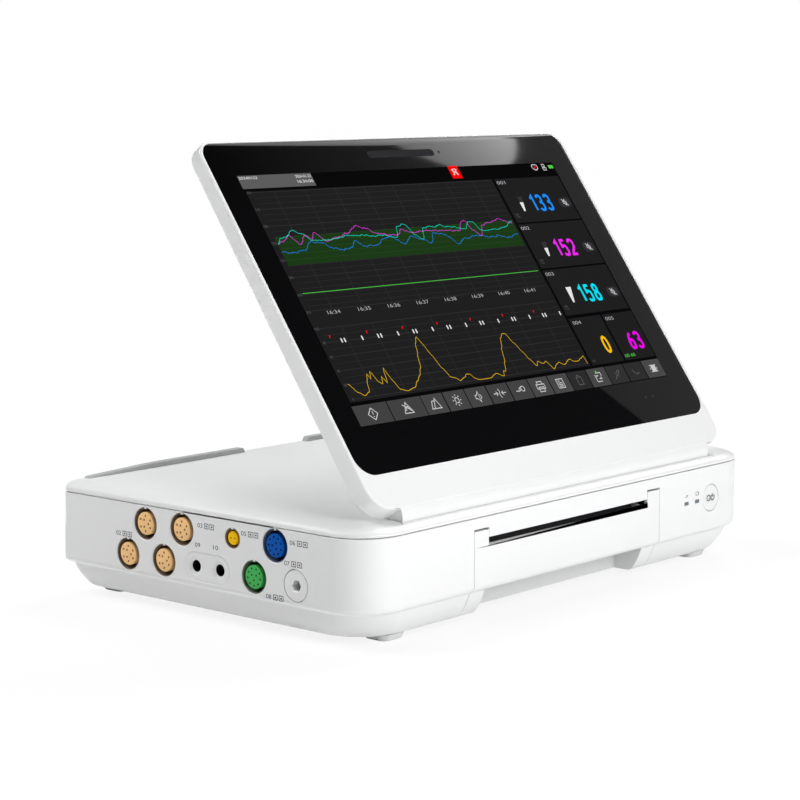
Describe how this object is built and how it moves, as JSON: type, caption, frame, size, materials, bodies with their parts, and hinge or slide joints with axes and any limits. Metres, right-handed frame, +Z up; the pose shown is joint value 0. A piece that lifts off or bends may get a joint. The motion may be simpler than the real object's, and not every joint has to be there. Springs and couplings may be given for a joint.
{
  "type": "fetal monitor",
  "caption": "Desk-top fetal monitor: flat base with side sensor sockets, pull-out paper recorder drawer and a wide touch screen that folds down on a hinge barrel.",
  "frame": {"origin": "on the table, under the middle of the outline", "axes": "+X to the right seen from the front, +Y to the back, +Z up"},
  "size_m": [0.3954, 0.258, 0.285],
  "materials": {
    "case_white": "fine moulded texture, satin",
    "cover_white": "fine moulded texture, satin",
    "frame_white": "smooth moulded, semi-gloss",
    "back_white": "fine moulded texture",
    "black_glass": "back-printed black glass",
    "lit_panel": "polariser film",
    "foot_white": "matt white rubber",
    "roller_rubber": "ground rubber",
    "socket_dark": "moulded, satin",
    "insert_orange": "moulded, satin",
    "insert_blue": "moulded, satin",
    "insert_green": "moulded, satin",
    "insert_yellow": "moulded, satin",
    "port_grey": "moulded, satin",
    "button_grey": "moulded, satin",
    "lamp_lens": "tinted clear plastic",
    "panel_grey": "powder coat",
    "inlet_black": "moulded",
    "plated_steel": "zinc plated",
    "brass": "turned",
    "board_green": "solder mask",
    "battery_blue": "shrink sleeve",
    "pump_grey": "satin",
    "gear_ivory": "moulded acetal",
    "rail_grey": "moulded acetal",
    "head_aluminium": "anodised",
    "chart_paper": "coated thermal paper"
  },
  "bodies": {
    "base": {"main_case": "case_white", "battery_cover": "case_white", "top_cover": "cover_white", "foot_front_left": "foot_white", "foot_front_right": "foot_white", "foot_rear_left": "foot_white", "foot_rear_right": "foot_white", "fetal_socket_1": "socket_dark", "fetal_socket_2": "socket_dark", "fetal_socket_3": "socket_dark", "fetal_socket_4": "socket_dark", "spo2_socket": "socket_dark", "ecg_socket": "socket_dark", "temp_socket": "socket_dark", "fetal_insert_1": "insert_orange", "fetal_insert_2": "insert_orange", "fetal_insert_3": "insert_orange", "fetal_insert_4": "insert_orange", "spo2_insert": "insert_blue", "ecg_insert": "insert_green", "temp_insert": "insert_yellow", "pressure_port": "port_grey", "jack_plate": "port_grey", "indicator_windows": "lamp_lens", "rear_panel": "panel_grey", "mains_inlet": "inlet_black", "button_switch": "inlet_black", "paper_motor": "inlet_black", "speaker": "inlet_black", "network_socket": "plated_steel", "usb_sockets": "plated_steel", "battery_screws": "plated_steel", "case_screws": "plated_steel", "hinge_brackets": "plated_steel", "hinge_screws": "plated_steel", "printer_frame": "plated_steel", "power_supply": "plated_steel", "ground_terminal": "brass", "connector_board": "board_green", "front_board": "board_green", "main_board": "board_green", "battery_pack": "battery_blue", "pressure_pump": "pump_grey", "drawer_rails": "rail_grey", "print_head": "head_aluminium"},
    "screen": {"screen_frame": "frame_white", "screen_back": "back_white", "touch_glass": "black_glass", "lcd_panel": "lit_panel", "screen_board": "board_green", "hinge_shafts": "plated_steel"},
    "drawer": {"paper_drawer": "case_white", "roller_bushes": "brass", "paper_pack": "chart_paper"},
    "roller": {"platen_roller": "roller_rubber", "roller_shaft": "plated_steel", "roller_gear": "gear_ivory"},
    "pinion": {"motor_pinion": "gear_ivory"},
    "button": {"power_button": "button_grey"}
  },
  "joints": [
    {"name": "screen_tilt", "type": "hinge", "parent": "base", "child": "screen", "pos_m": [0, -0.10815, 0.0722], "axis": [1, 0, 0], "range_deg": [-54, 30]},
    {"name": "drawer_slide", "type": "slide", "parent": "base", "child": "drawer", "axis": [0, -1, 0], "range_m": [0, 0.085]},
    {"name": "roller_spin", "type": "hinge", "parent": "drawer", "child": "roller", "pos_m": [-0.0063, -0.113, 0.0435], "axis": [1, 0, 0], "continuous": true},
    {"name": "pinion_spin", "type": "hinge", "parent": "base", "child": "pinion", "pos_m": [-0.094, -0.09672, 0.03914], "axis": [1, 0, 0], "continuous": true},
    {"name": "button_press", "type": "slide", "parent": "base", "child": "button", "axis": [0, 1, 0], "range_m": [0, 0.0012], "stiffness_N_per_m": 1500}
  ],
  "couplings": [
    {"joint": "pinion_spin", "follows": "roller_spin", "ratio": -2}
  ]
}
